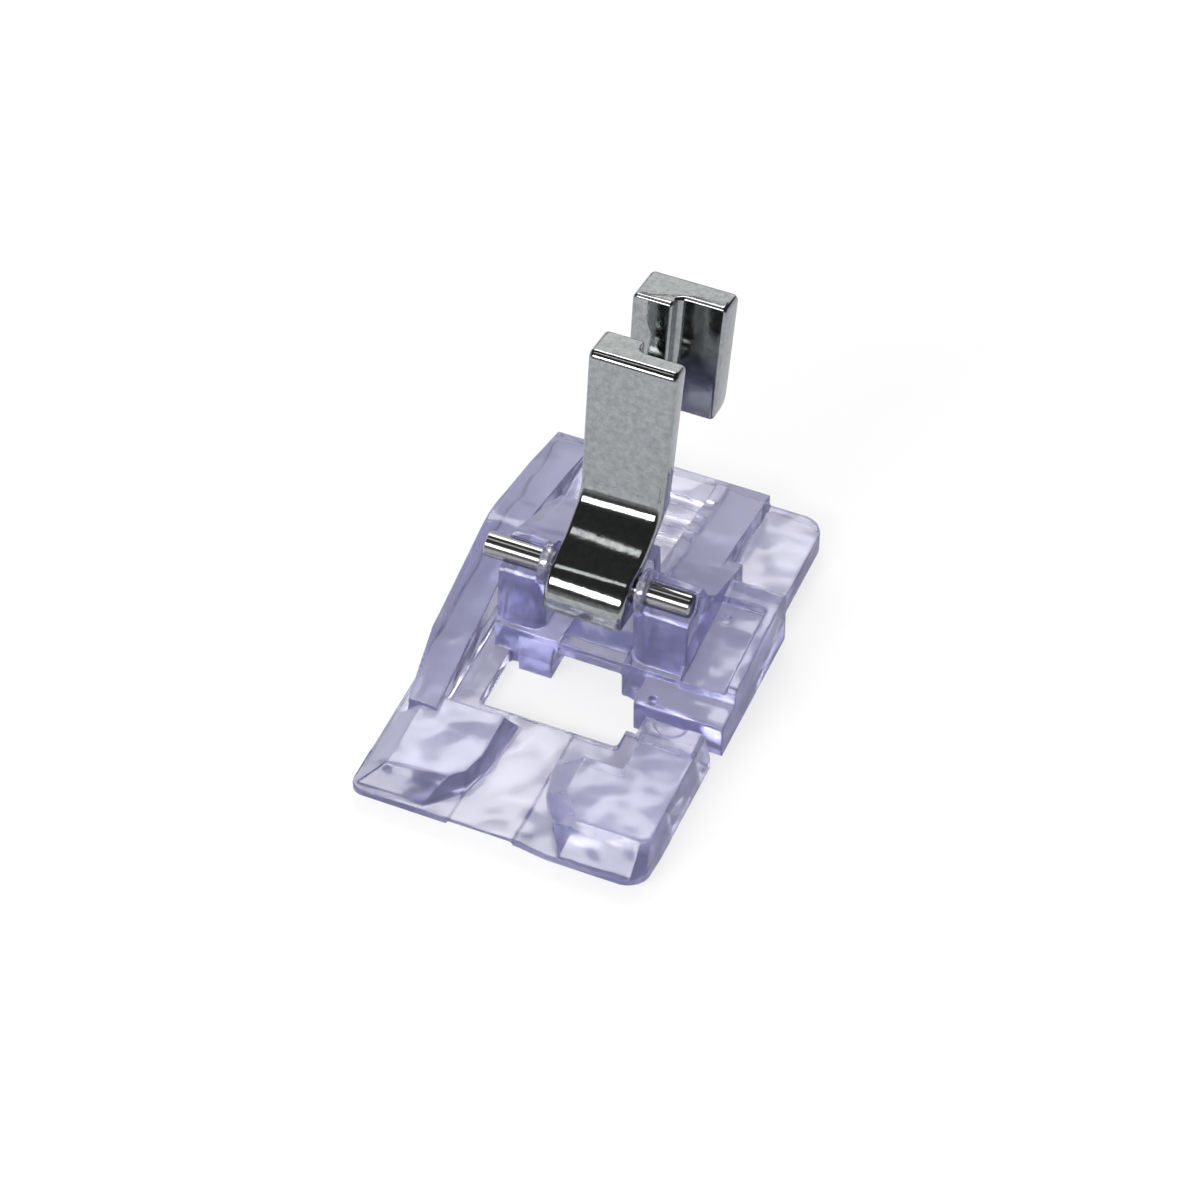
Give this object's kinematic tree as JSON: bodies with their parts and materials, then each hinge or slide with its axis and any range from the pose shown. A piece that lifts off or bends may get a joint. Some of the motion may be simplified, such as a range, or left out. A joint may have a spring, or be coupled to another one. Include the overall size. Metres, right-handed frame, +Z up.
{
  "type": "sewing machine presser foot",
  "caption": "Hinged low-shank presser foot: a clear moulded sole with a needle opening and thread slot, on a metal shank with a screw slot.",
  "frame": {"origin": "the needle's drop point on the plane of the sole's underside", "axes": "+X to the operator's right, +Y to the rear, +Z up"},
  "size_m": [0.0228, 0.0373, 0.0238],
  "materials": {
    "sole": "clear, pale violet, polished",
    "shank": "plated over a die casting, softly polished",
    "hinge_pin": "ground steel"
  },
  "bodies": {
    "sole": {"sole": "sole", "hinge_pin": "hinge_pin"},
    "shank": {"shank": "shank"}
  },
  "joints": [
    {"name": "ankle_hinge", "type": "hinge", "parent": "sole", "child": "shank", "pos_m": [0, 0.005, 0.0086], "axis": [1, 0, 0], "range_deg": [0, 20]}
  ]
}
